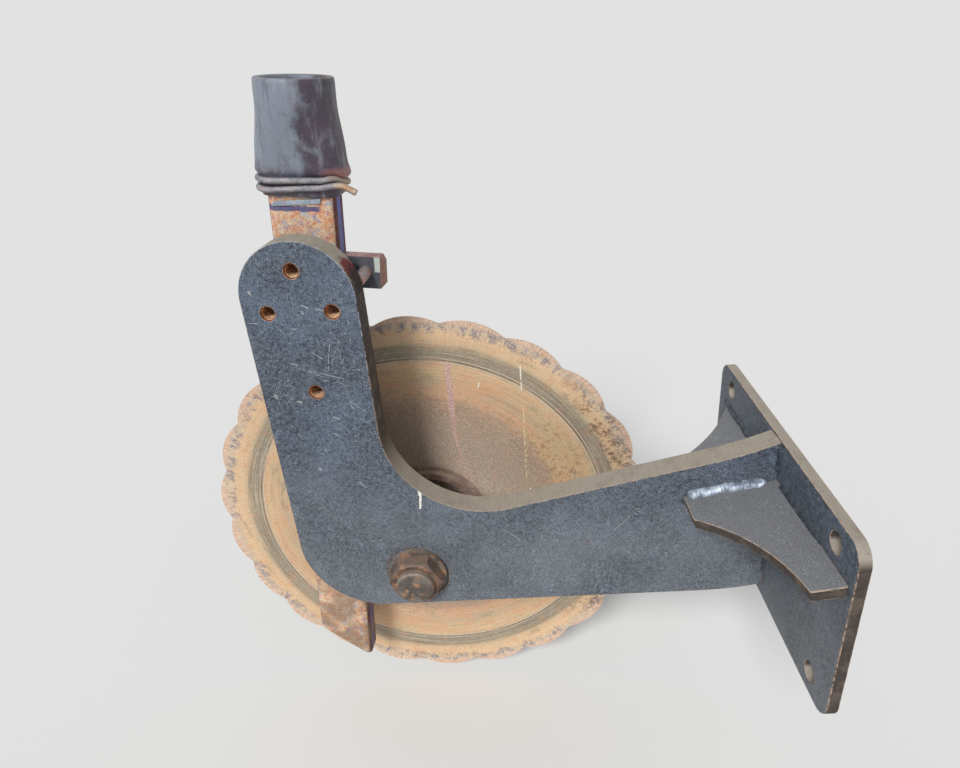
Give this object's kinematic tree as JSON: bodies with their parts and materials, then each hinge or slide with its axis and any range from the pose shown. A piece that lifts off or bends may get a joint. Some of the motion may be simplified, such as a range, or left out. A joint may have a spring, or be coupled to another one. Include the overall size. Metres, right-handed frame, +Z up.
{
  "type": "seed drill disc opener unit",
  "caption": "Row unit of a disc seed drill: angled steel arm with end flange, scalloped disc on a spindle, and a seed tube with rubber cuff.",
  "frame": {"origin": "centre of the end flange's four bolt holes, on the face that bolts to the drill's frame", "axes": "+X forwards, out of the flange face, the direction of travel; +Y across, towards the disc; +Z up"},
  "size_m": [0.6075, 0.3569, 0.7469],
  "materials": {
    "arm_paint": "worn near-black paint with dust",
    "dark_steel": "dull, rust in the corners",
    "disc_steel": "soil-worn steel, rust-tan, with rings",
    "hub_iron": "rusty cast iron",
    "tube_paint": "blue paint, heavy rust",
    "lug_steel": "dark steel with reddish brown edges",
    "rubber": "dusty black rubber",
    "wire_steel": "rusted wire"
  },
  "bodies": {
    "arm": {"arm_plate": "arm_paint", "end_flange": "arm_paint", "gusset_open_side": "arm_paint", "gusset_disc_side": "arm_paint", "spindle": "dark_steel", "spindle_washer": "dark_steel", "spindle_nut": "dark_steel", "seed_tube": "tube_paint", "tube_lug": "lug_steel", "lug_pin": "lug_steel", "lug_nut": "dark_steel", "tube_stay": "arm_paint", "hose_cuff": "rubber", "clamp_wire_lower": "wire_steel", "clamp_wire_upper": "wire_steel"},
    "disc_rotor": {"disc": "disc_steel", "hub_body": "hub_iron", "hub_collar": "hub_iron", "hub_cap": "hub_iron", "disc_bolts": "dark_steel", "disc_nuts": "dark_steel"}
  },
  "joints": [
    {"name": "disc_spin", "type": "hinge", "parent": "arm", "child": "disc_rotor", "pos_m": [-0.3532, 0.15404, -0.075], "axis": [0.0523, 0.9986, 0], "continuous": true}
  ]
}
